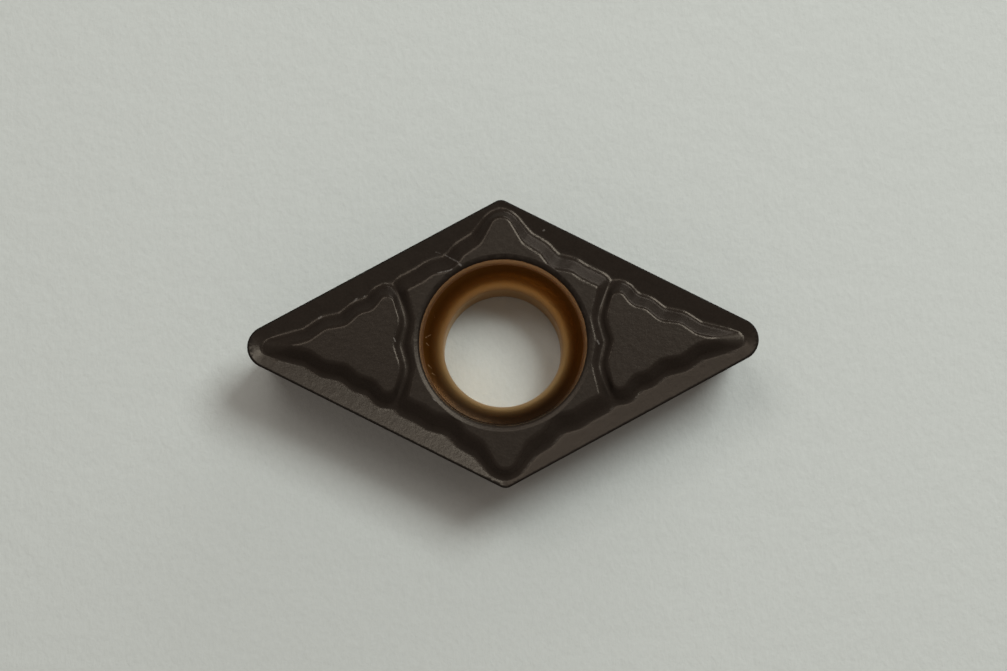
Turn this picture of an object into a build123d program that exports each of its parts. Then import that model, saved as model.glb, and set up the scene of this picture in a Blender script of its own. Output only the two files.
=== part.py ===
from build123d import *
import os
from math import atan2, cos, radians, sin, sqrt, tan

# A double-ended turning insert, pressed and sintered in one piece of tungsten carbide.
# The origin is at the middle of the bottom face. +X points at a sharp nose, and +Z runs
# up through the screw hole to the rake side. Lengths are in millimetres, angles in degrees.

# Blank
INSCRIBED_CIRCLE = 9.525  # the circle that touches all four cutting edges
NOSE_ANGLE = 55.0  # included angle at the two sharp noses
EDGE_HEIGHT = 3.97  # bottom face to cutting edge
CLEARANCE_ANGLE = 7.0  # how far the flanks lean in below the cutting edge
NOSE_RADIUS = 0.8  # at the cutting edge
BLUNT_RADIUS = 0.4  # the two blunt corners, at the cutting edge

# Chip breaker: flat-topped islands stand in a dish of sloping rake faces
RAKE_ANGLE = 15.0  # fall of a rake face inwards from the cutting edge
FLOOR_DEPTH = 0.3  # cutting edge down to the floor that the islands stand on
PLATEAU_HEIGHT = 0.2  # cutting edge up to the tops of the islands
NOSE_WALL_ANGLE = 40.0  # walls of the two nose islands
MIDDLE_WALL_ANGLE = 35.5  # walls of the middle island
LOBE_WALL_ANGLE = 42.0  # its two ends at the blunt corners

# Waves: each island's edge is a chain of round turns joined by tangent lines
NOSE_INSET = 1.3  # side of the insert to a nose island's mean edge
MIDDLE_INSET = 1.35  # the same for the middle island
WAVE_DEPTH = 0.1
VALLEY_RADIUS = 0.45  # inward turns, at the top of the wall
VALLEY_FOOT_RADIUS = 0.15  # at the floor
CREST_RADIUS = 0.45  # outward turns
CREST_FOOT_RADIUS = 0.8
SHOULDER_RADIUS = 0.28  # rear corners of a nose island
SHOULDER_FOOT_RADIUS = 0.65
CORNER_RADIUS = 0.12  # corners of the middle island beside the grooves
CORNER_FOOT_RADIUS = 0.65
LOBE_RADIUS = 0.42  # ends of the middle island
LOBE_FOOT_RADIUS = 1.0
LOBE_SETBACK = 0.69  # blunt corner of the insert to the top edge of that end
RIDGE_LEAD = 0.06  # how far the point of a nose island's top stands out of its mean edge
RIDGE_ANGLE = 15.5  # fall of the ridge from that point towards the nose
RIDGE_RADIUS = 0.05
RIDGE_FOOT_RADIUS = 0.42

# Grooves: the walls of neighbouring islands that face each other, along the long axis
GROOVE_BULGE_RADIUS = 0.8  # towards the middle, on a nose island
GROOVE_BULGE_FOOT_RADIUS = 1.15
GROOVE_HOLLOW_RADIUS = 0.9  # the answering hollow of the middle island
GROOVE_HOLLOW_FOOT_RADIUS = 0.3
NOTCH_RADIUS = 0.6  # on the long axis, in a nose island
NOTCH_FOOT_RADIUS = 0.12
PEAK_RADIUS = 0.1  # on the long axis, on the middle island
PEAK_FOOT_RADIUS = 0.6

# Screw hole
BORE_DIAMETER = 4.4
BORE_CHAMFER = 0.1  # at the bottom face
NECK_HEIGHT = 2.02  # bottom face to where the bore starts to open into the seat
SEAT_DIAMETER = 5.86  # widest part of the curved screw seat
SEAT_HEIGHT = 3.51  # bottom face to the ledge round the seat
LEDGE_DIAMETER = 5.92  # foot of the ring above the seat
MOUTH_DIAMETER = 6.13  # top of the ring
MOUTH_ROUNDING = 0.05

CUTTER_OVERRUN = 0.3  # how far a cutter reaches past what it cuts

# Turns by kind: radius at the top and at the floor, negative where the edge bends inwards
VALLEY = (-VALLEY_RADIUS, -VALLEY_FOOT_RADIUS)
CREST = (CREST_RADIUS, CREST_FOOT_RADIUS)
SHOULDER = (SHOULDER_RADIUS, SHOULDER_FOOT_RADIUS)
CORNER = (CORNER_RADIUS, CORNER_FOOT_RADIUS)
BULGE = (GROOVE_BULGE_RADIUS, GROOVE_BULGE_FOOT_RADIUS)
HOLLOW = (-GROOVE_HOLLOW_RADIUS, -GROOVE_HOLLOW_FOOT_RADIUS)
NOTCH = (-NOTCH_RADIUS, -NOTCH_FOOT_RADIUS)
PEAK = (PEAK_RADIUS, PEAK_FOOT_RADIUS)

# Flank turns, from nose to blunt corner: share of the side, inset from the mean edge in
# wave depths, kind. One more valley lies between a nose island's point and its first crest.
NOSE_FLANK = [
    (0.311, -0.65, CREST),
    (0.380, 1.5, VALLEY),
    (0.433, 0.3, CREST),
    (0.470, 1.0, VALLEY),
    (0.523, -1.0, SHOULDER),
]
MIDDLE_FLANK = [
    (0.606, 0.2, CORNER),
    (0.655, 0.3, VALLEY),
    (0.692, -0.2, CREST),
    (0.752, 1.4, VALLEY),
    (0.821, -1.3, CREST),
    (0.854, -1.75, VALLEY),
]
# Groove turns: shares of the insert's reach along X and Y, kind
NOSE_BULGE = (0.367, 0.158, BULGE)
NOSE_NOTCH = (0.386, 0, NOTCH)
MIDDLE_HOLLOW = (0.317, 0.158, HOLLOW)
MIDDLE_PEAK = (0.332, 0, PEAK)

HALF_ANGLE = radians(NOSE_ANGLE / 2)
LONG_REACH = INSCRIBED_CIRCLE / 2 / sin(HALF_ANGLE)  # middle to where two sides meet on X
SHORT_REACH = INSCRIBED_CIRCLE / 2 / cos(HALF_ANGLE)  # and on Y
BLUNT_TIP = SHORT_REACH - BLUNT_RADIUS / cos(HALF_ANGLE) + BLUNT_RADIUS
FLOOR_HEIGHT = EDGE_HEIGHT - FLOOR_DEPTH
TOP_HEIGHT = EDGE_HEIGHT + PLATEAU_HEIGHT


def spread(wall_angle, level):
    """How far a wall has moved outwards at a level from 0 (top) to 1 (floor)."""
    return (FLOOR_DEPTH + PLATEAU_HEIGHT) / tan(radians(wall_angle)) * level


def between(radii, level):
    return radii[0] + (radii[1] - radii[0]) * level


def flank_turn(turn, mean_inset, wall_angle, level):
    """A turn of the wall along the upper right side, as (x, y, radius)."""
    share, waves, radii = turn
    radius = between(radii, level)
    inset = mean_inset + waves * WAVE_DEPTH - spread(wall_angle, level) + radius
    x = LONG_REACH * (1 - share) - inset * sin(HALF_ANGLE)
    y = SHORT_REACH * share - inset * cos(HALF_ANGLE)
    return x, y, radius


def groove_turn(turn, facing, wall_angle, level):
    """A turn of a groove wall that faces +X (facing 1) or -X (facing -1)."""
    along, across, radii = turn
    radius = between(radii, level)
    x = LONG_REACH * along + facing * (spread(wall_angle, level) - radius)
    return x, SHORT_REACH * across, radius


def mirrored_x(turns):
    return [(-x, y, radius) for x, y, radius in reversed(turns)]


def mirrored_y(turns):
    return [(x, -y, radius) for x, y, radius in reversed(turns)]


def tangent(start, end):
    """The line that leaves one turn and meets the next: both ends and its direction."""
    x1, y1, radius1 = start
    x2, y2, radius2 = end
    growth = radius2 - radius1
    run = sqrt((x2 - x1) ** 2 + (y2 - y1) ** 2 - growth**2)
    angle = atan2(y2 - y1, x2 - x1) - atan2(growth, run)
    outwards = Vector(sin(angle), -cos(angle))
    return Vector(x1, y1) + outwards * radius1, Vector(x2, y2) + outwards * radius2, angle


def chain_face(turns, height):
    """The flat face inside a closed chain of turns, listed counterclockwise."""
    following = turns[1:] + turns[:1]
    lines = [tangent(turn, after) for turn, after in zip(turns, following)]
    edges = []
    for (x, y, radius), before, after in zip(turns, lines[-1:] + lines, lines):
        middle = atan2(sin(before[2]) + sin(after[2]), cos(before[2]) + cos(after[2]))
        apex = Vector(x, y) + Vector(sin(middle), -cos(middle)) * radius
        edges.append(ThreePointArc(before[1], apex, after[0]))
        edges.append(Line(after[0], after[1]))
    return Pos(0, 0, height) * make_face(edges)


def nose_chain(level):
    """The nose island on the +X side: ridge, upper flank, groove wall, lower flank."""
    radius = between((RIDGE_RADIUS, RIDGE_FOOT_RADIUS), level)
    point = (NOSE_INSET - RIDGE_LEAD) / sin(HALF_ANGLE)
    end = LONG_REACH - point + spread(RIDGE_ANGLE, level)
    point_share = point * cos(HALF_ANGLE) ** 2 / LONG_REACH
    first_valley = ((point_share + NOSE_FLANK[0][0]) / 2, 0.1, VALLEY)
    turns = [first_valley, *NOSE_FLANK]
    flank = [flank_turn(turn, NOSE_INSET, NOSE_WALL_ANGLE, level) for turn in turns]
    flank.append(groove_turn(NOSE_BULGE, -1, NOSE_WALL_ANGLE, level))
    notch = groove_turn(NOSE_NOTCH, -1, NOSE_WALL_ANGLE, level)
    return [(end - radius, 0, radius), *flank, notch, *mirrored_y(flank)]


def middle_chain(level):
    """The middle island: a quarter of its edge, and its images across both axes."""
    radius = between((LOBE_RADIUS, LOBE_FOOT_RADIUS), level)
    end = BLUNT_TIP - LOBE_SETBACK + spread(LOBE_WALL_ANGLE, level)
    peak = groove_turn(MIDDLE_PEAK, 1, MIDDLE_WALL_ANGLE, level)
    quarter = [groove_turn(MIDDLE_HOLLOW, 1, MIDDLE_WALL_ANGLE, level)]
    for turn in MIDDLE_FLANK:
        quarter.append(flank_turn(turn, MIDDLE_INSET, MIDDLE_WALL_ANGLE, level))
    upper = [*quarter, (0, end - radius, radius), *mirrored_x(quarter)]
    return [peak, *upper, *mirrored_x([peak]), *mirrored_y(upper)]


def island(chain):
    """A drafted block from the floor to the plateau, its walls ruled between two chains."""
    return loft([chain_face(chain(1), FLOOR_HEIGHT), chain_face(chain(0), TOP_HEIGHT)], ruled=True)


def drafted_rhombus(base, lid, draft_angle):
    """The cutting-edge outline as a block between two heights, wider upwards by the draft.

    Its sides are planes, and each corner is a cone, so the draft is the same all round."""
    growth = tan(radians(draft_angle))
    inset = (EDGE_HEIGHT - base) * growth
    x = LONG_REACH - inset / sin(HALF_ANGLE)
    y = SHORT_REACH - inset / cos(HALF_ANGLE)
    rhombus = Pos(0, 0, base) * make_face(Polyline((x, 0), (0, y), (-x, 0), (0, -y), close=True))
    block = extrude(rhombus, lid - base)
    block = draft(block.faces().filter_by(Axis.Z, reverse=True), Plane.XY.offset(base), -draft_angle)
    corners = [
        (LONG_REACH, HALF_ANGLE, NOSE_RADIUS, 0),
        (SHORT_REACH, radians(90) - HALF_ANGLE, BLUNT_RADIUS, 90),
    ]
    for reach, half_angle, radius, turn in corners:
        rim = radius + (lid - EDGE_HEIGHT) * growth
        tip = EDGE_HEIGHT - radius / growth
        arm = (rim + CUTTER_OVERRUN) / sin(half_angle)
        side = (arm * sin(half_angle), arm * cos(half_angle))
        other_side = (side[0], -side[1])
        sector = make_face(Polyline((0, 0), other_side, (2 * arm, 0), side, close=True))
        wedge = Pos(0, 0, base) * extrude(sector, lid - base)
        profile = make_face(Polyline((0, tip), (rim, lid), (0, lid), close=True))
        cone = revolve(Plane.XZ * profile, Axis.Z)
        for half_turn in (0, 180):
            place = Rot(0, 0, turn + half_turn) * Pos(reach - radius / sin(half_angle), 0, 0)
            block = block - place * wedge + place * (wedge & cone)
    return block


def screw_hole():
    """The hole with its curved seat and mouth ring, as one turned shape."""
    bore = BORE_DIAMETER / 2
    seat = SEAT_DIAMETER / 2
    rise = SEAT_HEIGHT - NECK_HEIGHT
    arc_radius = (rise**2 + (seat - bore) ** 2) / (2 * (seat - bore))
    arc_middle = bore + arc_radius - sqrt(arc_radius**2 - (rise / 2) ** 2)
    mouth = MOUTH_DIAMETER / 2
    rounded = mouth + MOUTH_ROUNDING
    rounding_foot = TOP_HEIGHT - MOUTH_ROUNDING
    bulge = MOUTH_ROUNDING * (1 - cos(radians(45)))
    base = -CUTTER_OVERRUN
    lid = TOP_HEIGHT + CUTTER_OVERRUN
    wall = [
        Polyline((0, base), (bore + BORE_CHAMFER - base, base), (bore, BORE_CHAMFER), (bore, NECK_HEIGHT)),
        ThreePointArc((bore, NECK_HEIGHT), (arc_middle, NECK_HEIGHT + rise / 2), (seat, SEAT_HEIGHT)),
        Polyline((seat, SEAT_HEIGHT), (LEDGE_DIAMETER / 2, SEAT_HEIGHT), (mouth, rounding_foot)),
        ThreePointArc((mouth, rounding_foot), (mouth + bulge, TOP_HEIGHT - bulge), (rounded, TOP_HEIGHT)),
        Polyline((rounded, TOP_HEIGHT), (rounded, lid), (0, lid), (0, base)),
    ]
    return revolve(Plane.XZ * make_face(wall), Axis.Z)


def insert():
    dish = drafted_rhombus(FLOOR_HEIGHT, EDGE_HEIGHT + CUTTER_OVERRUN, 90 - RAKE_ANGLE)
    body = drafted_rhombus(0, EDGE_HEIGHT, CLEARANCE_ANGLE) - dish
    nose_island = island(nose_chain)
    islands = island(middle_chain) + nose_island + Rot(0, 0, 180) * nose_island
    return body + (islands & drafted_rhombus(0, TOP_HEIGHT, CLEARANCE_ANGLE)) - screw_hole()


os.makedirs("parts", exist_ok=True)
export_step(insert(), "parts/insert.step")
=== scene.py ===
from math import acos, atan2, ceil, cos, pi, radians, sin, sqrt, tan

import bmesh
import bpy
import numpy as np
from mathutils import Matrix, Vector, kdtree
from mathutils.geometry import delaunay_2d_cdt


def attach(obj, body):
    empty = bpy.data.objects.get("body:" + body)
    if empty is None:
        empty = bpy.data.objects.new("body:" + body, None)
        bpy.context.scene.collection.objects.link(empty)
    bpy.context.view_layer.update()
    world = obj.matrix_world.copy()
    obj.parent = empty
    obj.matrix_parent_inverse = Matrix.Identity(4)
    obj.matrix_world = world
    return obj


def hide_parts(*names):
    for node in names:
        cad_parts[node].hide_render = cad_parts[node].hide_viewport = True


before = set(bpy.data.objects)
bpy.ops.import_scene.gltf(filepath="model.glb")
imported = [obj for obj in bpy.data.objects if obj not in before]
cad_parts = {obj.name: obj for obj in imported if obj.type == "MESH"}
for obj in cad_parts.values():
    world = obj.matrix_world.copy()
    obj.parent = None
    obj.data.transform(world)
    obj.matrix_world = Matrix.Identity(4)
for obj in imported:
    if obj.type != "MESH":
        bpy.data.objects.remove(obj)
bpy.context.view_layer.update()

# A double-ended turning insert with its chip breaker, screw hole and coating, on a sheet of
# pale paper. Lengths are in millimetres until the mesh is made, and angles in degrees. Heights
# are measured from the cutting edge, which is EDGE_HEIGHT above the bottom face.

MM = 0.001

# Blank, as in the CAD part
INSCRIBED_CIRCLE = 9.525  # the circle that touches all four cutting edges
NOSE_ANGLE = 55.0  # included angle at the two sharp noses
EDGE_HEIGHT = 3.97  # bottom face to cutting edge
CLEARANCE_ANGLE = 7.0  # how far the flanks lean in below the cutting edge
NOSE_RADIUS = 0.8
BLUNT_RADIUS = 0.4
RAKE_ANGLE = 15.0  # fall of a rake face inwards from the cutting edge
FLOOR_DEPTH = 0.3  # cutting edge down to the floor that the islands stand on
PLATEAU_HEIGHT = 0.2  # cutting edge up to the tops of the islands
WALL_DROP = FLOOR_DEPTH + PLATEAU_HEIGHT

# Islands: walls and places as in the CAD part
NOSE_WALL_ANGLE = 40.0
MIDDLE_WALL_ANGLE = 35.5
LOBE_WALL_ANGLE = 42.0  # the middle island's two ends at the blunt corners
NOSE_INSET = 1.3  # side of the insert to a nose island's mean edge
MIDDLE_INSET = 1.35
WAVE_DEPTH = 0.1
LOBE_SETBACK = 0.69  # blunt corner of the insert to the top edge of that end
RIDGE_LEAD = 0.06  # how far the point of a nose island's top stands out of its mean edge
RIDGE_ANGLE = 15.5  # fall of the ridge from that point towards the nose

# Radii of the islands' turns, at the top of the wall and at its foot, negative where the turn
# is hollow. Valleys, crests, bulges and notches are softer than in the CAD part.
LOBE = (0.42, 1.0)
RIDGE = (0.05, 0.42)
VALLEY = (-0.58, -0.35)
CREST = (0.55, 0.8)
SHOULDER = (0.28, 0.65)
CORNER = (0.12, 0.65)
BULGE = (0.85, 1.15)
HOLLOW = (-0.9, -0.3)
NOTCH = (-0.6, -0.25)
PEAK = (0.1, 0.6)
LEAST_CREST = 0.004  # a wall carried on above its top keeps at least this radius

# Turns along a quarter of an island: share of the side from the nose, distance inwards from
# the mean edge in wave depths, radii
NOSE_FLANK = [
    (0.311, -0.65, CREST),
    (0.380, 1.5, VALLEY),
    (0.433, 0.3, CREST),
    (0.470, 1.0, VALLEY),
    (0.523, -1.0, SHOULDER),
]
MIDDLE_FLANK = [
    (0.606, 0.2, CORNER),
    (0.655, 0.3, VALLEY),
    (0.692, -0.2, CREST),
    (0.752, 1.4, VALLEY),
    (0.821, -1.3, CREST),
    (0.854, -1.75, VALLEY),
]
FIRST_VALLEY = 0.1  # wave depths, between a nose island's point and its first crest

# Turns of the groove walls: shares of the long and the short reach, radii
NOSE_BULGE = (0.367, 0.158, BULGE)
NOSE_NOTCH = (0.386, 0.0, NOTCH)
MIDDLE_HOLLOW = (0.317, 0.158, HOLLOW)
MIDDLE_PEAK = (0.332, 0.0, PEAK)

# Screw hole, as in the CAD part, by radius
BORE = 2.2
BORE_CHAMFER = 0.1
NECK = 2.02 - EDGE_HEIGHT  # height where the bore starts to open into the seat
SEAT = 2.93  # widest part of the curved screw seat
SEAT_TOP = 3.51 - EDGE_HEIGHT
LEDGE = 2.96  # foot of the ring above the seat
MOUTH = 3.065  # top of the ring

# Roundings that only the visual model has. A blend is as wide as the difference in height,
# between two surfaces, within which it rounds the fold where they meet.
HONE = 0.065
EDGE_BLEND = 0.07  # top edge of an island
FOOT_BLEND = 0.15  # foot of a wall
NOSE_FOOT_BLEND = 0.05  # foot of a wall, out at a nose
NOSE_BLEND_REACH = (8.2, 8.7)  # distances along X between which the foot's blend narrows
GROOVE_BLEND = 0.2  # bottom of a groove, where two walls meet
GROOVE_LEAD = (-0.05, 0.1)  # of the other wall over the rake face, from foot to groove blend
FOLD_REACH = 1.5  # blend widths within which a point counts as lying in a fold
MOUTH_CORNER = 3.265  # radius where the plateau turns down towards the hole
MOUTH_CORNER_ROUNDING = 0.15
MOUTH_DROP = 0.045  # from there to the mouth
MOUTH_ROUNDING = 0.13
LEDGE_ROUNDING = 0.012
CHAMFER_ROUNDING = 0.03
BOTTOM_ROUNDING = 0.03
LEAST_RADIUS = 0.03  # of a corner of the outline, when it is set in

# Fineness of the mesh
NOSE_STEPS = 32
BLUNT_STEPS = 14
SIDE_STEPS = 190
HONE_STEPS = 9
HOLE_STEPS = 360
SEAT_STEPS = 21
SHAFT_STEPS = 5
MOUTH_STEPS = 7
CHAMFER_STEPS = 3
WALL_SPACING = 0.04  # between vertices along a wall
WALL_TURN = 7.0  # between them on a round turn
WALL_ROWS = 4  # rows of vertices between a wall's top and foot roundings
TOP_ROWS = np.array([-1.4, -1, -0.6, -0.2, 0.2, 0.6, 1, 1.4])  # from the edge, in edge blends
FOOT_ROWS = np.array([1.25, 1, 0.72, 0.44, 0.16, -0.12, -0.4, -0.7, -1, -1.25])  # in foot blends
RAKE_ROWS = (0.14, 0.22, 0.32, 0.44, 0.56)  # insets of the rings on the rake faces
FLANK_ROWS = (-0.5, -1.2, -2.0, -2.8, -3.5)  # heights of the rings on the flanks
RING_GAP = 0.02  # between a border and the ring that follows it
WIDE_RING_GAP = 0.03
COARSE = 0.16  # spacing of the fill
FINE = 0.045  # and round the place where a groove opens on to the rake face
GROOVE_OPENING = np.array([3.93, 2.28])
FINE_REACH = 0.45
FILL_GAP = 0.6  # least gap from a fill point to the rings, in spacings
CLEAR_OF_WALLS = 1.7  # least gap from a wall's foot to a ring on the rake face, in foot blends
UNCOVERED = 0.8  # how far below the rake face the other wall lies, in foot blends
MERGED = 1e-6  # metres within which vertices are one

HALF = radians(NOSE_ANGLE / 2)
LONG_REACH = INSCRIBED_CIRCLE / 2 / sin(HALF)  # middle to where two sides meet on X
SHORT_REACH = INSCRIBED_CIRCLE / 2 / cos(HALF)  # and on Y
BLUNT_TIP = SHORT_REACH - BLUNT_RADIUS / cos(HALF) + BLUNT_RADIUS
RAKE_SLOPE = tan(radians(RAKE_ANGLE))
FLANK_SLOPE = tan(radians(CLEARANCE_ANGLE))
LEVELS = np.linspace(-0.3, 1.25, 32)  # heights of a wall, 0 at its top and 1 at the floor
FOOT_LEVELS = np.linspace(0.16, 1.25, 34)  # those at which a wall's foot is looked for
SPACING_LEVEL = 0.4  # the one at which vertices are spaced along a wall


# ---------------------------------------------------------------- islands' edges

def spread(wall_angle, level):
    """How far a wall has moved outwards at a level."""
    return WALL_DROP / tan(radians(wall_angle)) * level


def between(radii, level):
    return radii[0] + (radii[1] - radii[0]) * level


def flank_turn(turn, mean_inset, wall_angle, level):
    """A turn of the wall along the upper right side, as x, y and radius."""
    share, waves, radii = turn
    radius = between(radii, level)
    inset = mean_inset + waves * WAVE_DEPTH - spread(wall_angle, level) + radius
    x = LONG_REACH * (1 - share) - inset * sin(HALF)
    y = SHORT_REACH * share - inset * cos(HALF)
    return x, y, radius


def groove_turn(turn, facing, wall_angle, level):
    """A turn of a groove wall that faces +X (facing 1) or -X (facing -1)."""
    along, across, radii = turn
    radius = between(radii, level)
    x = LONG_REACH * along + facing * (spread(wall_angle, level) - radius)
    return x, SHORT_REACH * across, radius


def mirrored_x(turns):
    return [(-x, y, radius) for x, y, radius in reversed(turns)]


def mirrored_y(turns):
    return [(x, -y, radius) for x, y, radius in reversed(turns)]


def nose_turns(level):
    """The island at the +X nose, counterclockwise from its point."""
    radius = between(RIDGE, level)
    point = (NOSE_INSET - RIDGE_LEAD) / sin(HALF)
    end = LONG_REACH - point + spread(RIDGE_ANGLE, level)
    point_share = point * cos(HALF) ** 2 / LONG_REACH
    first_valley = ((point_share + NOSE_FLANK[0][0]) / 2, FIRST_VALLEY, VALLEY)
    turns = [first_valley, *NOSE_FLANK]
    flank = [flank_turn(turn, NOSE_INSET, NOSE_WALL_ANGLE, level) for turn in turns]
    flank.append(groove_turn(NOSE_BULGE, -1, NOSE_WALL_ANGLE, level))
    notch = groove_turn(NOSE_NOTCH, -1, NOSE_WALL_ANGLE, level)
    return [(end - radius, 0, radius), *flank, notch, *mirrored_y(flank)]


def middle_turns(level):
    """The island round the hole, counterclockwise from the +X axis."""
    radius = between(LOBE, level)
    end = BLUNT_TIP - LOBE_SETBACK + spread(LOBE_WALL_ANGLE, level)
    peak = groove_turn(MIDDLE_PEAK, 1, MIDDLE_WALL_ANGLE, level)
    quarter = [groove_turn(MIDDLE_HOLLOW, 1, MIDDLE_WALL_ANGLE, level)]
    for turn in MIDDLE_FLANK:
        quarter.append(flank_turn(turn, MIDDLE_INSET, MIDDLE_WALL_ANGLE, level))
    upper = [*quarter, (0, end - radius, radius), *mirrored_x(quarter)]
    return [peak, *upper, *mirrored_x([peak]), *mirrored_y(upper)]


# Each island's turns at the top of its wall and at the foot
NOSE_CHAIN = (np.array(nose_turns(0)), np.array(nose_turns(1)))
MIDDLE_CHAIN = (np.array(middle_turns(0)), np.array(middle_turns(1)))


def turns_at(chain, level):
    """A chain's turns at one level or an array of them, each as x, y and radius."""
    top, foot = chain
    turns = top + np.asarray(level, float)[..., None, None] * (foot - top)
    crests = np.maximum(turns[..., 2], LEAST_CREST)
    turns[..., 2] = np.where(top[:, 2] > 0, crests, turns[..., 2])
    return turns


def tangents(turns):
    """The lines from each turn to the next: their angle, start and end."""
    after = np.roll(turns, -1, axis=-2)
    step = after - turns
    run = np.sqrt(np.maximum(step[..., 0] ** 2 + step[..., 1] ** 2 - step[..., 2] ** 2, 1e-4))
    angle = np.arctan2(step[..., 1], step[..., 0]) - np.arctan2(step[..., 2], run)
    outwards = np.stack([np.sin(angle), -np.cos(angle)], -1)
    start = turns[..., :2] + outwards * turns[..., 2:]
    end = after[..., :2] + outwards * after[..., 2:]
    return angle, start, end


def wrapped(angle):
    return (angle + pi) % (2 * pi) - pi


def chain_samples(chain, spacing, step):
    """Places along a chain: turn, 1 on the line after it or 0 on its arc, share of either."""
    turns = turns_at(chain, SPACING_LEVEL)
    angle, start, end = tangents(turns)
    samples = []
    for i, radius in enumerate(turns[:, 2]):
        bend = abs(wrapped(angle[i] - angle[i - 1]))
        count = ceil(max(abs(radius) * bend / spacing, bend / step))
        samples += [(i, 0, j / count) for j in range(count)]
        count = ceil(np.linalg.norm(end[i] - start[i]) / spacing)
        samples += [(i, 1, j / count) for j in range(count)]
    return np.array(samples)


def wall_points(chain, samples, level):
    """Points on a wall, one row for each sample, at that row's levels."""
    turns = turns_at(chain, level)
    angle, start, end = tangents(turns)
    row = np.arange(len(samples))[:, None]
    column = np.arange(level.shape[1])[None]
    turn = samples[:, :1].astype(int)
    share = samples[:, 2:]
    before = angle[row, column, turn - 1]
    along = before + wrapped(angle[row, column, turn] - before) * share
    outwards = np.stack([np.sin(along), -np.cos(along)], -1)
    here = turns[row, column, turn]
    on_arc = here[..., :2] + outwards * here[..., 2:]
    first, last = start[row, column, turn], end[row, column, turn]
    on_line = first + (last - first) * share[..., None]
    return np.where(samples[:, 1, None, None] > 0, on_line, on_arc)


def signed_distance(points, turns):
    """Distance of points from a closed chain of turns, negative inside it."""
    angle, start, end = tangents(turns)
    nearest = np.full(len(points), np.inf)
    signed = np.zeros(len(points))
    for i, (x, y, radius) in enumerate(turns):
        line = end[i] - start[i]
        share = np.clip((points - start[i]) @ line / (line @ line), 0, 1)
        gap = points - start[i] - share[:, None] * line
        far = np.hypot(gap[:, 0], gap[:, 1])
        side = gap[:, 0] * sin(angle[i]) - gap[:, 1] * cos(angle[i])
        closer = far < nearest
        nearest[closer] = far[closer]
        signed[closer] = np.where(side > 0, far, -far)[closer]
        bend = wrapped(angle[i] - angle[i - 1])
        if abs(bend) < 1e-6:
            continue
        facing = np.sign(radius)
        arm = points - (x, y)
        share = wrapped(np.arctan2(facing * arm[:, 0], -facing * arm[:, 1]) - angle[i - 1]) / bend
        gap = facing * (np.hypot(arm[:, 0], arm[:, 1]) - abs(radius))
        closer = (abs(gap) < nearest) & (share >= 0) & (share <= 1)
        nearest[closer] = abs(gap)[closer]
        signed[closer] = gap[closer]
    return signed


def wall_height(points, chain):
    """Height of an island's wall over points, carried on above its top and below its foot."""
    gaps = np.array([signed_distance(points, turns_at(chain, level)) for level in LEVELS])
    after = np.clip((gaps > 0).sum(0), 1, len(LEVELS) - 1)
    column = np.arange(len(points))
    gap, next_gap = gaps[after - 1, column], gaps[after, column]
    level = LEVELS[after - 1] + (LEVELS[1] - LEVELS[0]) * gap / (gap - next_gap)
    return PLATEAU_HEIGHT - WALL_DROP * level


# ---------------------------------------------------------------- rake side as a height

def edge_distance(points):
    """Distance inwards from the cutting edge, which is rounded at all four corners."""
    x, y = abs(points[:, 0]), abs(points[:, 1])
    distance = INSCRIBED_CIRCLE / 2 - x * sin(HALF) - y * cos(HALF)
    ahead = x - (LONG_REACH - NOSE_RADIUS / sin(HALF))
    in_nose = ahead * cos(HALF) > y * sin(HALF)
    distance = np.where(in_nose, NOSE_RADIUS - np.hypot(ahead, y), distance)
    above = y - (SHORT_REACH - BLUNT_RADIUS / cos(HALF))
    in_corner = above * sin(HALF) > x * cos(HALF)
    return np.where(in_corner, BLUNT_RADIUS - np.hypot(x, above), distance)


def rake_height(points):
    return np.maximum(-RAKE_SLOPE * edge_distance(points), -FLOOR_DEPTH)


def nose_height(points):
    """Both nose islands: the one at -X is the other one's mirror image."""
    return wall_height(np.stack([abs(points[:, 0]), points[:, 1]], 1), NOSE_CHAIN)


def middle_height(points):
    return wall_height(points, MIDDLE_CHAIN)


def smooth_max(a, b, width):
    return np.maximum(a, b) + np.maximum(width - abs(a - b), 0) ** 2 / (4 * width)


def smoothstep(value, low, high):
    t = np.clip((value - low) / (high - low), 0, 1)
    return t * t * (3 - 2 * t)


def foot_blend(x):
    """Width of the blend at a wall's foot: narrower where the ridge runs out at a nose."""
    return FOOT_BLEND + (NOSE_FOOT_BLEND - FOOT_BLEND) * smoothstep(abs(x), *NOSE_BLEND_REACH)


def rake_side_surface(points):
    """Height of the finished rake side, and how far each point lies in a fold of it."""
    walls = smooth_max(nose_height(points), middle_height(points), GROOVE_BLEND)
    rake = rake_height(points)
    foot = foot_blend(points[:, 0])
    land = smooth_max(walls, rake, foot)
    height = -smooth_max(-land, np.full(len(points), -PLATEAU_HEIGHT), EDGE_BLEND)
    from_foot = abs(walls - rake) / foot
    from_edge = abs(land - PLATEAU_HEIGHT) / EDGE_BLEND
    return height, np.clip(FOLD_REACH - np.minimum(from_foot, from_edge), 0, 1)


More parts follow.
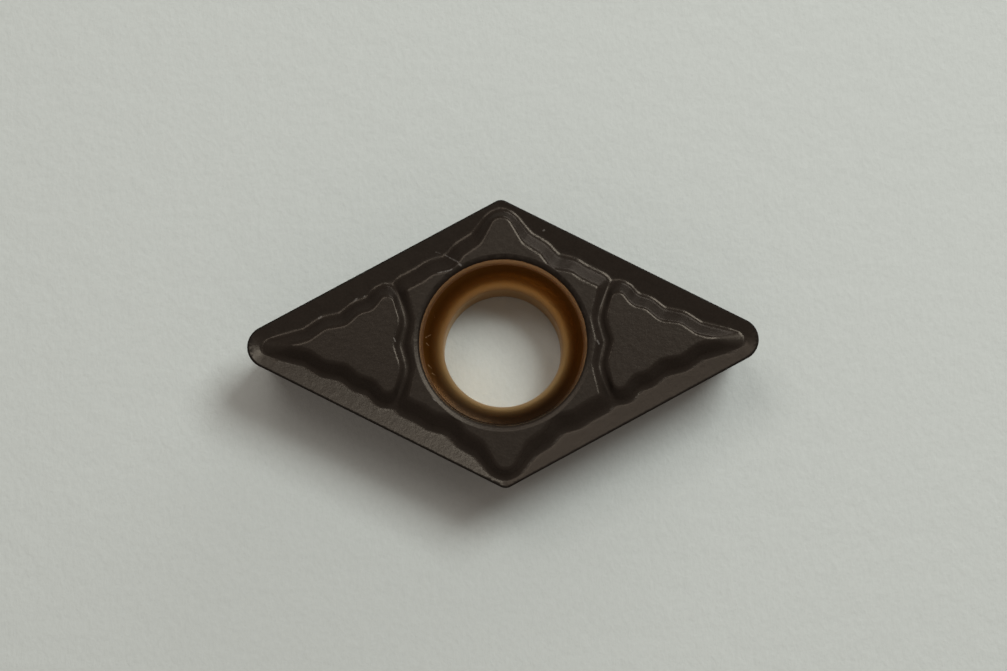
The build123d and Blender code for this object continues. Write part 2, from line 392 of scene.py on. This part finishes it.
def island_rings(chain, other_height):
    """Places for vertices in rings along an island's wall, close together where it is rounded.

    Also says which of them are sound: those that the other island's wall or the rake face
    doesn't cover. A wall's lead is its height above the higher of these two.
    """
    samples = chain_samples(chain, WALL_SPACING, radians(WALL_TURN))
    levels = np.tile(FOOT_LEVELS, (len(samples), 1))
    grid = wall_points(chain, samples, levels)
    flat = grid.reshape(-1, 2)
    rake = rake_height(flat).reshape(levels.shape)
    other = other_height(flat).reshape(levels.shape)
    lead = PLATEAU_HEIGHT - WALL_DROP * levels - np.maximum(rake, other)
    in_groove = np.array([np.interp(0, -a, b) for a, b in zip(lead, other - rake)])
    own = foot_blend(grid[:, -1, 0])
    blend = own + (GROOVE_BLEND - own) * smoothstep(in_groove, *GROOVE_LEAD)
    top = TOP_ROWS * EDGE_BLEND / WALL_DROP
    foot = np.array([np.interp(-FOOT_ROWS * b, -a, l) for a, b, l in zip(lead, blend, levels)])
    shares = np.linspace(0, 1, WALL_ROWS + 2)[1:-1]
    middle = top[-1] + (foot[:, :1] - top[-1]) * shares
    level = np.hstack([np.tile(top, (len(samples), 1)), middle, foot])
    points = wall_points(chain, samples, level)
    flat = points.reshape(-1, 2)
    other_lead = (other_height(flat) - rake_height(flat)).reshape(level.shape)
    foot_row = np.full(level.shape, 1.0)
    foot_row[:, -len(FOOT_ROWS):] = FOOT_ROWS
    reached = np.full(level.shape, True)
    reached[:, -len(FOOT_ROWS):] = -FOOT_ROWS * blend[:, None] <= -lead[:, -1:]
    sound = reached & ((foot_row > 0) | (other_lead < -UNCOVERED * FOOT_BLEND))
    return points, sound


# ---------------------------------------------------------------- outlines and sections

def outline(inset):
    """The cutting-edge outline set in by a distance, counterclockwise from the +X nose."""
    corners = [
        (LONG_REACH, HALF, NOSE_RADIUS, NOSE_STEPS),
        (SHORT_REACH, pi / 2 - HALF, BLUNT_RADIUS, BLUNT_STEPS),
    ]
    arcs = []
    for quarter in range(4):
        reach, half, radius, steps = corners[quarter % 2]
        radius = max(radius - inset, LEAST_RADIUS)
        centre = reach - (inset + radius) / sin(half)
        facing = quarter * pi / 2
        around = facing + np.linspace(half - pi / 2, pi / 2 - half, steps + 1)
        middle = centre * np.array([cos(facing), sin(facing)])
        arcs.append(middle + radius * np.stack([np.cos(around), np.sin(around)], 1))
    points = []
    for arc, following in zip(arcs, arcs[1:] + arcs[:1]):
        share = np.linspace(0, 1, SIDE_STEPS + 1)[1:-1, None]
        points += [arc, arc[-1] + (following[0] - arc[-1]) * share]
    return np.vstack(points)


def circle(radius):
    around = np.arange(HOLE_STEPS) / HOLE_STEPS * 2 * pi
    return radius * np.stack([np.cos(around), np.sin(around)], 1)


def hone_profile():
    """Section of the honed cutting edge from the rake face to the flank: inset, height."""
    rake, flank = radians(90 + RAKE_ANGLE), -radians(CLEARANCE_ANGLE)
    normals = np.array([[cos(rake), sin(rake)], [cos(flank), sin(flank)]])
    centre = np.linalg.solve(normals, [-HONE, -HONE])
    around = np.linspace(rake, flank, HONE_STEPS + 1)
    out = centre[0] + HONE * np.cos(around)
    return np.stack([-out, centre[1] + HONE * np.sin(around)], 1)


def outer_profile():
    """Section of the outside from the rake face to the bottom face: inset, height."""
    bottom = -EDGE_HEIGHT
    section = [tuple(point) for point in hone_profile()]
    heights = [section[-1][1] - WIDE_RING_GAP, *FLANK_ROWS, bottom + BOTTOM_ROUNDING * 1.3]
    section += [(-z * FLANK_SLOPE, z) for z in heights]
    # A little less than the bottom's full inset, so that the rounding starts in line with the flank
    foot = EDGE_HEIGHT * FLANK_SLOPE - BOTTOM_ROUNDING * 0.1
    for angle in np.array([0.25, 0.5, 0.75, 1.0]) * pi / 2:
        inset = foot + BOTTOM_ROUNDING * (1 - cos(angle))
        section.append((inset, bottom + BOTTOM_ROUNDING * (1 - sin(angle))))
    return section


def rounded_profile(corners, steps):
    """A polyline with each inner corner (x, y, radius) rounded; radius 0 stays sharp."""
    points = [np.array(corners[0][:2])]
    for before, corner, after in zip(corners, corners[1:], corners[2:]):
        at = np.array(corner[:2])
        radius = corner[2]
        if radius == 0:
            points.append(at)
            continue
        back = np.array(before[:2]) - at
        on = np.array(after[:2]) - at
        back, on = back / np.linalg.norm(back), on / np.linalg.norm(on)
        half = np.arccos(np.clip(back @ on, -1, 1)) / 2
        reach = radius / tan(half)
        centre = at + (back + on) / np.linalg.norm(back + on) * radius / sin(half)
        first, last = at + back * reach - centre, at + on * reach - centre
        start = atan2(first[1], first[0])
        turn = wrapped(atan2(last[1], last[0]) - start)
        for angle in start + turn * np.linspace(0, 1, steps + 1):
            points.append(centre + radius * np.array([cos(angle), sin(angle)]))
    points.append(np.array(corners[-1][:2]))
    return np.array(points)


def hole_profile():
    """Section of the screw hole from the plateau down to the bottom face: radius, height."""
    arc_radius = ((SEAT_TOP - NECK) ** 2 + (SEAT - BORE) ** 2) / (2 * (SEAT - BORE))
    start = acos(1 - (LEDGE - BORE) / arc_radius)
    seat_top = NECK + arc_radius * sin(start)
    mouth = rounded_profile(
        [
            (MOUTH_CORNER + WIDE_RING_GAP, PLATEAU_HEIGHT, 0),
            (MOUTH_CORNER, PLATEAU_HEIGHT, MOUTH_CORNER_ROUNDING),
            (MOUTH, PLATEAU_HEIGHT - MOUTH_DROP, MOUTH_ROUNDING),
            (LEDGE, seat_top, LEDGE_ROUNDING),
            (LEDGE - sin(start), seat_top - cos(start), 0),
        ],
        MOUTH_STEPS,
    )
    angles = start * (1 - np.linspace(0, 1, SEAT_STEPS + 1)[1:])
    seat_radii = BORE + arc_radius - arc_radius * np.cos(angles)
    seat = np.stack([seat_radii, NECK + arc_radius * np.sin(angles)], 1)
    chamfer = rounded_profile(
        [
            (BORE, NECK, 0),
            (BORE, BORE_CHAMFER - EDGE_HEIGHT, CHAMFER_ROUNDING),
            (BORE + BORE_CHAMFER, -EDGE_HEIGHT, CHAMFER_ROUNDING),
            (BORE + 3 * BORE_CHAMFER, -EDGE_HEIGHT, 0),
        ],
        CHAMFER_STEPS,
    )
    shaft_heights = np.linspace(NECK, chamfer[1, 1] + RING_GAP, SHAFT_STEPS + 1)[1:]
    shaft = np.stack([np.full(SHAFT_STEPS, BORE), shaft_heights], 1)
    return np.vstack([mouth[:-1], seat, shaft, chamfer[1:-1]])


# ---------------------------------------------------------------- mesh

def closed_ring(first, count):
    return [(first + i, first + (i + 1) % count) for i in range(count)]


class Sheet:
    """Points in the plane, added in batches, and the edges that its triangles keep."""

    def __init__(self):
        self.batches = []
        self.edges = []
        self.borders = []
        self.total = 0

    def add(self, points):
        self.batches.append(points)
        self.total += len(points)

    def add_border(self, points):
        """A closed ring that no triangle crosses or fills."""
        self.edges += closed_ring(self.total, len(points))
        self.borders.append((self.total, len(points)))
        self.add(points)

    def add_rings(self, points, sound):
        """The sound points of rings along a wall, each joined to the next of its ring."""
        index = np.full(sound.shape, -1)
        index[sound] = self.total + np.arange(sound.sum())
        following = np.roll(index, -1, axis=0)
        for ring in range(index.shape[1]):
            joined = (index[:, ring] >= 0) & (following[:, ring] >= 0)
            self.edges += zip(index[joined, ring].tolist(), following[joined, ring].tolist())
        self.add(points[sound])

    def triangles(self):
        """Constrained Delaunay triangles between the borders, and their corners."""
        points = np.vstack(self.batches)
        result = delaunay_2d_cdt([Vector(p) for p in points], self.edges, [], 0, 1e-6)
        first_source = np.array([min(sources, default=len(points)) for sources in result[3]])
        faces = np.array(result[2])
        for first, count in self.borders:
            on_border = (first_source >= first) & (first_source < first + count)
            faces = faces[~on_border[faces].all(axis=1)]
        return np.array([tuple(v) for v in result[0]]), faces


def fill(spacing, taken, hone_inset, hole_radius, near_opening):
    """Points at a spacing over the rake side, near a groove's opening or away from it."""
    columns = np.arange(-LONG_REACH, LONG_REACH, spacing)
    rows = np.arange(-SHORT_REACH, SHORT_REACH, spacing * sqrt(3) / 2)
    x, y = np.meshgrid(columns, rows)
    x = x + np.where(np.arange(len(rows)) % 2 == 1, spacing / 2, 0)[:, None]
    spots = np.stack([x.ravel(), y.ravel()], 1)
    near = np.linalg.norm(abs(spots) - GROOVE_OPENING, axis=1) < FINE_REACH
    spots = spots[(near == near_opening) & (edge_distance(spots) > hone_inset + 2 * RING_GAP)]
    spots = spots[np.linalg.norm(spots, axis=1) > hole_radius + 2 * RING_GAP]
    return np.array([p for p in spots if taken.find((p[0], p[1], 0))[2] > spacing * FILL_GAP])


def rake_side(hone_inset, hole_radius):
    """The whole top: rings along every wall, rings inside the cutting edge, and fill."""
    sheet = Sheet()
    sheet.add_border(outline(hone_inset))
    sheet.add_border(circle(hole_radius))
    sheet.add(circle(hole_radius + RING_GAP))
    nose = island_rings(NOSE_CHAIN, middle_height)
    middle = island_rings(MIDDLE_CHAIN, nose_height)
    for (points, sound), end in ((nose, 1), (nose, -1), (middle, 1)):
        clear = np.linalg.norm(points, axis=-1) > hole_radius + 1.75 * RING_GAP
        sheet.add_rings(points * end, sound & clear)
    rings = [outline(hone_inset + 0.75 * RING_GAP)]
    rings += [outline(inset)[::2] for inset in RAKE_ROWS]
    for ring in rings:
        walls = np.maximum(nose_height(ring), middle_height(ring)) - rake_height(ring)
        sheet.add(ring[walls < -CLEAR_OF_WALLS * FOOT_BLEND])
    taken = kdtree.KDTree(sheet.total)
    for i, (x, y) in enumerate(np.vstack(sheet.batches)):
        taken.insert((x, y, 0), i)
    taken.balance()
    sheet.add(fill(FINE, taken, hone_inset, hole_radius, True))
    sheet.add(fill(COARSE, taken, hone_inset, hole_radius, False))
    flat, faces = sheet.triangles()
    height, fold = rake_side_surface(flat)
    # The border round the hole lies in the plateau exactly, where the hole's own wall starts
    height[np.linalg.norm(flat, axis=1) < hole_radius + 0.001] = PLATEAU_HEIGHT
    return np.column_stack([flat, height]), faces, fold


def bottom_side(inset, hole_radius):
    sheet = Sheet()
    sheet.add_border(outline(inset))
    sheet.add_border(circle(hole_radius))
    sheet.add(outline(inset + WIDE_RING_GAP))
    sheet.add(circle(hole_radius + WIDE_RING_GAP))
    flat, faces = sheet.triangles()
    return at_height(flat, -EDGE_HEIGHT), faces[:, ::-1]


def at_height(flat, z):
    return np.column_stack([flat, np.full(len(flat), z)])


def strips(rings):
    """Quads between rings of the same count, each ring an array of points."""
    count = len(rings[0])
    faces = []
    for k in range(len(rings) - 1):
        for i in range(count):
            j = (i + 1) % count
            faces.append((k * count + i, (k + 1) * count + i, (k + 1) * count + j, k * count + j))
    return np.vstack(rings), faces


def insert_mesh():
    """Vertices in metres, faces, and each vertex's share of hone, flank and fold."""
    section, profile = outer_profile(), hole_profile()
    rings = [at_height(outline(inset), z) for inset, z in section]
    top, top_faces, fold = rake_side(section[0][0], profile[0][0])
    parts = [
        (top, top_faces),
        strips(rings),
        strips([at_height(circle(radius), z) for radius, z in profile]),
        bottom_side(section[-1][0], profile[-1][0]),
    ]
    vertices, faces, total = [], [], 0
    for points, part_faces in parts:
        vertices.append(points)
        faces += [tuple(int(i) + total for i in face) for face in part_faces]
        total += len(points)
    vertices = np.vstack(vertices)
    vertices[:, 2] += EDGE_HEIGHT
    flank_start = len(top) + (HONE_STEPS + 1) * len(rings[0])
    flank_end = len(top) + len(section) * len(rings[0])
    zones = np.zeros((len(vertices), 3))
    zones[len(top):flank_start, 0] = 1
    zones[flank_start:flank_end, 1] = 1
    zones[:len(top), 2] = fold
    return vertices * MM, faces, zones


def finished_mesh(name):
    """The closed, smooth mesh, with its zones as attributes for the coating."""
    vertices, faces, zones = insert_mesh()
    mesh = bpy.data.meshes.new(name)
    mesh.from_pydata(vertices.tolist(), [], faces)
    bm = bmesh.new()
    bm.from_mesh(mesh)
    layers = [bm.verts.layers.float.new(zone) for zone in ("hone", "flank", "fold")]
    for vertex, shares in zip(bm.verts, zones):
        for layer, share in zip(layers, shares):
            vertex[layer] = share
    bmesh.ops.remove_doubles(bm, verts=bm.verts, dist=MERGED)
    bmesh.ops.recalc_face_normals(bm, faces=bm.faces)
    for face in bm.faces:
        face.smooth = True
    bm.to_mesh(mesh)
    bm.free()
    return mesh


# ---------------------------------------------------------------- materials

class Shader:
    """Builds one material's node tree: most calls return an output socket."""

    def __init__(self, name):
        self.material = bpy.data.materials.new(name)
        self.material.use_nodes = True
        self.tree = self.material.node_tree
        self.principled = self.tree.nodes["Principled BSDF"]

    def put(self, value, socket):
        if isinstance(value, bpy.types.NodeSocket):
            self.tree.links.new(value, socket)
        else:
            socket.default_value = value

    def math(self, operation, a, b=0.0, c=0.0):
        made = self.tree.nodes.new("ShaderNodeMath")
        made.operation = operation
        for value, socket in zip((a, b, c), made.inputs):
            self.put(value, socket)
        return made.outputs[0]

    def vector(self, operation, a, b=(0, 0, 0), scale=1.0, output="Vector"):
        made = self.tree.nodes.new("ShaderNodeVectorMath")
        made.operation = operation
        self.put(a, made.inputs[0])
        self.put(b, made.inputs[1])
        self.put(scale, made.inputs[3])
        return made.outputs[output]

    def position(self):
        return self.tree.nodes.new("ShaderNodeTexCoord").outputs["Object"]

    def attribute(self, name):
        made = self.tree.nodes.new("ShaderNodeAttribute")
        made.attribute_name = name
        return made.outputs["Fac"]

    def split(self, vector):
        made = self.tree.nodes.new("ShaderNodeSeparateXYZ")
        self.put(vector, made.inputs[0])
        return made.outputs

    def scaled(self, vector, scale):
        made = self.tree.nodes.new("ShaderNodeMapping")
        self.put(vector, made.inputs["Vector"])
        made.inputs["Scale"].default_value = scale
        return made.outputs[0]

    def noise(self, vector, scale, detail, roughness=0.55):
        made = self.tree.nodes.new("ShaderNodeTexNoise")
        self.put(vector, made.inputs["Vector"])
        made.inputs["Scale"].default_value = scale
        made.inputs["Detail"].default_value = detail
        made.inputs["Roughness"].default_value = roughness
        return made.outputs["Fac"]

    def ranged(self, value, low, high, to_low=0.0, to_high=1.0, smooth=False):
        made = self.tree.nodes.new("ShaderNodeMapRange")
        made.interpolation_type = "SMOOTHSTEP" if smooth else "LINEAR"
        for item, socket in zip((value, low, high, to_low, to_high), made.inputs):
            self.put(item, socket)
        return made.outputs[0]

    def mixed(self, share, a, b):
        """Colour a where the share is 0 and colour b where it is 1."""
        made = self.tree.nodes.new("ShaderNodeMix")
        made.data_type = "RGBA"
        self.put(share, made.inputs[0])
        for value, socket in ((a, made.inputs[6]), (b, made.inputs[7])):
            self.put(value if isinstance(value, bpy.types.NodeSocket) else (*value, 1), socket)
        return made.outputs[2]

    def bump(self, height, distance):
        made = self.tree.nodes.new("ShaderNodeBump")
        made.inputs["Distance"].default_value = distance
        self.put(height, made.inputs["Height"])
        return made.outputs[0]

    def stroke(self, spot, start, end, width):
        """1 within a thin straight mark from start to end, 0 outside it."""
        start, end = Vector(start), Vector(end)
        line = end - start
        arm = self.vector("SUBTRACT", spot, start)
        along = self.vector("DOT_PRODUCT", arm, line / line.length_squared, output="Value")
        along = self.ranged(along, 0, 1)
        near = self.vector("SCALE", line, scale=along)
        gap = self.vector("DISTANCE", arm, near, output="Value")
        return self.ranged(gap, width / 2, width / 5, smooth=True)

    def strokes(self, spot, marks):
        """1 within any of the marks, given as start, end and width in millimetres."""
        flat = self.vector("SUBTRACT", spot, (0, 0, EDGE_HEIGHT * MM))
        flat = self.scaled(flat, (1 / MM, 1 / MM, 1 / MM / MARK_REACH))
        share = 0.0
        for start, end, width in marks:
            ends = [(x, y, z / MARK_REACH) for x, y, z in (start, end)]
            share = self.math("MAXIMUM", share, self.stroke(flat, *ends, width))
        return share

    def finish(self, **inputs):
        for key, value in inputs.items():
            if isinstance(value, tuple):
                value = (*value, 1)
            self.put(value, self.principled.inputs[key.replace("_", " ")])
        return self.material


# Wear and lint: start, end, width, from the hole's axis and the cutting edge's height. A mark
# reaches further in height than in width, so that it meets the surface.
MARK_REACH = 10
SCRATCHES = [
    ((-2.42, 3.42, -0.15), (-2.13, 3.33, 0.0), 0.035),
    ((-2.13, 3.34, -0.05), (-1.60, 2.98, 0.15), 0.06),
    ((-1.56, 2.90, 0.2), (-1.50, 2.86, 0.2), 0.10),
    ((-2.34, 2.60, 0.2), (-2.05, 2.66, 0.2), 0.06),
    ((-2.00, 2.66, 0.2), (-1.84, 2.72, 0.2), 0.07),
    ((-6.74, 1.04, -0.2), (-6.64, 1.09, -0.2), 0.09),
    ((-5.44, 1.67, -0.2), (-5.32, 1.74, -0.2), 0.09),
    ((-5.10, 1.80, -0.2), (-5.04, 1.84, -0.2), 0.06),
    ((1.55, 4.14, -0.2), (1.58, 4.16, -0.2), 0.09),
    ((-4.00, 0.24, 0.15), (-3.94, 0.10, 0.15), 0.06),
    ((3.44, 0.02, 0.15), (3.50, -0.10, 0.15), 0.08),
    ((-2.62, -2.00, 0.15), (-2.50, -2.10, 0.15), 0.05),
]
LINT = [
    ((-2.44, 1.72, -0.7), (-2.28, 1.76, -0.8), 0.05),
    ((-2.28, 1.76, -0.8), (-2.20, 1.66, -0.9), 0.04),
    ((-2.56, 1.22, -0.7), (-2.50, 1.04, -0.8), 0.04),
    ((-2.50, 1.04, -0.8), (-2.55, 0.92, -0.8), 0.03),
    ((-2.84, 0.30, -0.5), (-2.66, 0.42, -0.8), 0.05),
    ((-2.82, 0.10, -0.5), (-2.74, 0.02, -0.7), 0.05),
    ((-2.78, -0.70, -0.5), (-2.64, -0.84, -0.7), 0.05),
    ((-2.62, -1.02, -0.6), (-2.50, -1.10, -0.8), 0.04),
]

# Colours. A pair is mixed by noise, or from the -Y side of the hole to its +Y side.
SATIN_BLACK = ((0.0065, 0.0048, 0.0036), (0.0195, 0.0147, 0.0112))
# Painted shade on the plateau round the hole's mouth, on its +Y side
RIM_PAINTED_SHADE = (0.0035, 0.0022, 0.0014)
HONE_BLACK = (0.003, 0.002, 0.0015)
FLANK_BROWN = ((0.024, 0.0185, 0.0145), (0.040, 0.031, 0.0245))
SCRATCH_GREY = (0.095, 0.085, 0.075)
# The seat: bronze with a painted reflection near the neck, paler on the -Y side as a painted
# highlight, and bronze in painted shade higher up
SEAT_BRONZE_PAINTED_REFLECTION = ((0.43, 0.275, 0.115), (0.35, 0.165, 0.045))
SEAT_BRONZE_PAINTED_SHADE = ((0.055, 0.032, 0.016), (0.115, 0.047, 0.008))
LEDGE_BRONZE = ((0.035, 0.026, 0.020), (0.44, 0.25, 0.125))
BORE_BRONZE = (0.46, 0.30, 0.14)
LINT_COLOR = (0.40, 0.26, 0.14)
PAPER = ((0.463, 0.479, 0.447), (0.487, 0.503, 0.470))
COATING_SPECULAR = 0.16
COATING_TINT = (1.0, 0.835, 0.665)

# Where the hole's colours change: radii of the coating's edge and of the painted shade round the
# mouth, and heights above the bottom face
COATING_EDGE = 3.0625
COATING_EDGE_BLUR = 0.012
RIM_PAINTED_SHADE_RADII = (3.52, 3.38)
# Heights between which the seat goes from its painted reflection to its painted shade
SEAT_PAINTED_SHADE_HEIGHTS = (2.72, 3.34)
LEDGE_HEIGHTS = (3.50, 3.56)
BORE_HEIGHTS = (2.05, 1.95)
BOTTOM_HEIGHTS = (0.03, 0.01)


def black_coating(s, spot, radius, facing, satin, scratches):
    """Satin black, with painted shade round the hole's mouth on its +Y side, paler where scratched.
    """
    cloud = s.noise(spot, 2500, 4)
    shade = s.math("MULTIPLY_ADD", satin, 0.8, s.math("MULTIPLY", cloud, 0.4))
    black = s.mixed(shade, *SATIN_BLACK)
    ragged = s.math("MULTIPLY_ADD", s.noise(spot, 5000, 4, 0.6), 0.5 * MM, radius)
    # Painted shade: the plateau round the mouth is darkened on the hole's +Y side, where its
    # rounding faces away from the lamps.
    rim_shade = s.ranged(ragged, RIM_PAINTED_SHADE_RADII[0] * MM, RIM_PAINTED_SHADE_RADII[1] * MM, smooth=True)
    rim_shade = s.math("MULTIPLY", rim_shade, s.ranged(facing, -0.5, 0.3, 0.0, 0.7))
    return s.mixed(scratches, s.mixed(rim_shade, black, RIM_PAINTED_SHADE), SCRATCH_GREY)


def hole_bronze(s, z, facing, lint):
    """Bronze of the screw hole: bore, seat with a painted reflection near the neck and painted
    shade higher up, ledge, and lint on it.
    """
    def by_height(heights, smooth=False):
        return s.ranged(z, heights[0] * MM, heights[1] * MM, smooth=smooth)

    # Painted reflection: bronze near the neck painted bright, paler on the -Y side as a painted
    # highlight
    seat_painted_reflection = s.mixed(s.ranged(facing, -0.6, 0.4), *SEAT_BRONZE_PAINTED_REFLECTION)
    # Painted shade: the seat higher up is a darker brown, darkest on the -Y side
    brown = s.mixed(s.ranged(facing, -0.8, -0.2), *SEAT_BRONZE_PAINTED_SHADE)
    ledge = s.mixed(s.ranged(facing, -0.85, -0.3), *LEDGE_BRONZE)
    bronze = s.mixed(by_height(SEAT_PAINTED_SHADE_HEIGHTS, smooth=True), seat_painted_reflection, brown)
    bronze = s.mixed(by_height(LEDGE_HEIGHTS, smooth=True), bronze, ledge)
    bronze = s.mixed(by_height(BORE_HEIGHTS), bronze, BORE_BRONZE)
    return s.mixed(lint, bronze, LINT_COLOR)


def coating():
    """Satin coating: black on the rake side, brown on pressed and ground faces, bronze hole."""
    s = Shader("coating")
    spot = s.position()
    x, y, z = s.split(spot)
    hone, flank, fold = s.attribute("hone"), s.attribute("flank"), s.attribute("fold")
    radius = s.math("SQRT", s.math("ADD", s.math("MULTIPLY", x, x), s.math("MULTIPLY", y, y)))
    facing = s.math("DIVIDE", y, radius)  # -1 on the hole's -Y side to 1 on its +Y side
    ragged = s.math("MULTIPLY_ADD", s.noise(spot, 9000, 3), 0.03 * MM, -0.015 * MM)
    inwards = s.math("SUBTRACT", COATING_EDGE * MM, s.math("ADD", radius, ragged))
    hole = s.ranged(inwards, -COATING_EDGE_BLUR * MM, COATING_EDGE_BLUR * MM, smooth=True)
    bottom = s.ranged(z, BOTTOM_HEIGHTS[0] * MM, BOTTOM_HEIGHTS[1] * MM)

    satin = s.noise(spot, 14000, 3, 0.6)
    chips = s.ranged(s.noise(spot, 16000, 3), 0.38, 0.52)
    scratches = s.math("MULTIPLY", s.strokes(spot, SCRATCHES), chips)
    lint = s.math("MULTIPLY", s.strokes(spot, LINT), chips)
    pressed = s.math("MULTIPLY", s.noise(s.scaled(spot, (1, 1, 0.07)), 11000, 4, 0.6), flank)
    ground = s.noise(s.scaled(spot, (0.05, 1, 1)), 15000, 3, 0.6)
    texture = s.math("MULTIPLY_ADD", ground, bottom, pressed)

    black = black_coating(s, spot, radius, facing, satin, scratches)
    color = s.mixed(hole, black, hole_bronze(s, z, facing, lint))
    brown = s.mixed(s.ranged(texture, 0.3, 0.7), *FLANK_BROWN)
    color = s.mixed(s.math("ADD", flank, bottom), color, brown)
    color = s.mixed(s.math("MULTIPLY", hone, 0.9), color, HONE_BLACK)

    rough = s.math("MULTIPLY_ADD", satin, 0.10, 0.275)
    for share, more in ((hone, 0.35), (fold, -0.11), (scratches, 0.2)):
        rough = s.math("MULTIPLY_ADD", share, more, rough)
    height = s.math("MULTIPLY_ADD", satin, 3.0, s.noise(spot, 45000, 2))
    height = s.math("MULTIPLY_ADD", s.noise(spot, 3600, 2), 7.0, height)
    height = s.math("MULTIPLY_ADD", texture, 3.5, height)
    return s.finish(
        Base_Color=color,
        Roughness=rough,
        Metallic=s.math("MULTIPLY", hole, s.ranged(bottom, 0.0, 1.0, 0.9, 0.0)),
        Specular_IOR_Level=COATING_SPECULAR,
        Specular_Tint=COATING_TINT,
        Normal=s.bump(height, 0.00105 * MM),
    )


def paper_material():
    s = Shader("paper")
    spot = s.position()
    fibre = s.noise(s.scaled(spot, (1, 0.75, 1)), 5000, 5, 0.6)
    tooth = s.noise(spot, 900, 4, 0.5)
    height = s.math("MULTIPLY_ADD", fibre, 0.5, tooth)
    return s.finish(
        Base_Color=s.mixed(s.ranged(fibre, 0.3, 0.7), *PAPER),
        Roughness=0.9,
        Specular_IOR_Level=0.2,
        Normal=s.bump(height, 0.045 * MM),
    )


# ---------------------------------------------------------------- stage, camera and light

PAPER_REACH = 250.0

# Camera: its turn as an axis times an angle in radians, where the cutting edge's plane lies
# in its own axes, and its focal length in pixels of a frame of this width
CAMERA_TURN = Vector((-0.11231809, 0.00636393, 0.01674194))
CAMERA_SHIFT = Vector((-0.0120235, -0.26980516, -98.78065833))
FOCAL = 2700.0
FRAME_WIDTH = 1007
SENSOR = 36.0

# Lamps: name, azimuth, elevation, distance, width and height, watts, colour; in metres
LAMPS = [
    ("window", 45, 59, 0.24, (0.084, 0.084), 0.41, (0.93, 0.985, 1.0)),
    ("second", 118, 63, 0.24, (0.084, 0.084), 0.115, (1.0, 0.98, 0.96)),
    ("low", 58, 17, 0.30, (0.21, 0.06), 0.19, (0.97, 0.99, 1.0)),
]

# Room by the sine of the elevation: a light horizon, dark just above it, brighter higher up
ROOM = [
    (0.06, (0.38, 0.35, 0.33)),
    (0.16, (0.140, 0.106, 0.090)),
    (0.26, (0.145, 0.110, 0.092)),
    (0.50, (0.310, 0.262, 0.236)),
    (1.00, (0.325, 0.300, 0.290)),
]


def placed(name, data):
    """A new object in the scene."""
    made = bpy.data.objects.new(name, data)
    bpy.context.scene.collection.objects.link(made)
    return made


def paper_mesh():
    reach = PAPER_REACH * MM
    mesh = bpy.data.meshes.new("paper")
    corners = [(-reach, -reach, 0), (reach, -reach, 0), (reach, reach, 0), (-reach, reach, 0)]
    mesh.from_pydata(corners, [], [(0, 1, 2, 3)])
    mesh.materials.append(paper_material())
    return mesh


def add_camera():
    world_to_camera = Matrix.Rotation(CAMERA_TURN.length, 3, CAMERA_TURN.normalized())
    camera_to_world = world_to_camera.transposed()
    place = Vector((0, 0, EDGE_HEIGHT)) - camera_to_world @ CAMERA_SHIFT
    data = bpy.data.cameras.new("camera")
    data.sensor_width = SENSOR
    data.lens = SENSOR * FOCAL / FRAME_WIDTH
    data.clip_start = 0.001
    camera = placed("camera", data)
    camera.matrix_world = Matrix.Translation(place * MM) @ camera_to_world.to_4x4()
    bpy.context.scene.camera = camera


def add_lamp(name, azimuth, elevation, distance, size, power, color):
    """A rectangular lamp that faces the origin."""
    data = bpy.data.lights.new(name, "AREA")
    data.shape = "RECTANGLE"
    data.size, data.size_y = size
    data.energy = power
    data.color = color
    a, e = radians(azimuth), radians(elevation)
    away = Vector((cos(a) * cos(e), sin(a) * cos(e), sin(e)))
    facing = away.to_track_quat("Z", "Y").to_matrix().to_4x4()
    placed(name, data).matrix_world = Matrix.Translation(away * distance) @ facing


def add_room():
    world = bpy.data.worlds.new("world")
    world.use_nodes = True
    nodes, links = world.node_tree.nodes, world.node_tree.links
    direction = nodes.new("ShaderNodeTexCoord")
    upwards = nodes.new("ShaderNodeSeparateXYZ")
    ramp = nodes.new("ShaderNodeValToRGB")
    stops = ramp.color_ramp.elements
    while len(stops) < len(ROOM):
        stops.new(0.5)
    for stop, (position, color) in zip(stops, ROOM):
        stop.position = position
        stop.color = (*color, 1)
    links.new(direction.outputs["Generated"], upwards.inputs[0])
    links.new(upwards.outputs["Z"], ramp.inputs[0])
    links.new(ramp.outputs["Color"], nodes["Background"].inputs["Color"])
    bpy.context.scene.world = world


# ---------------------------------------------------------------- scene

piece = placed("insert_coated", finished_mesh("insert_coated"))
piece.data.materials.append(coating())
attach(piece, "root")
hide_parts("insert")

paper = placed("paper", paper_mesh())

add_camera()
for lamp in LAMPS:
    add_lamp(*lamp)
add_room()
bpy.context.scene.view_settings.view_transform = "Standard"
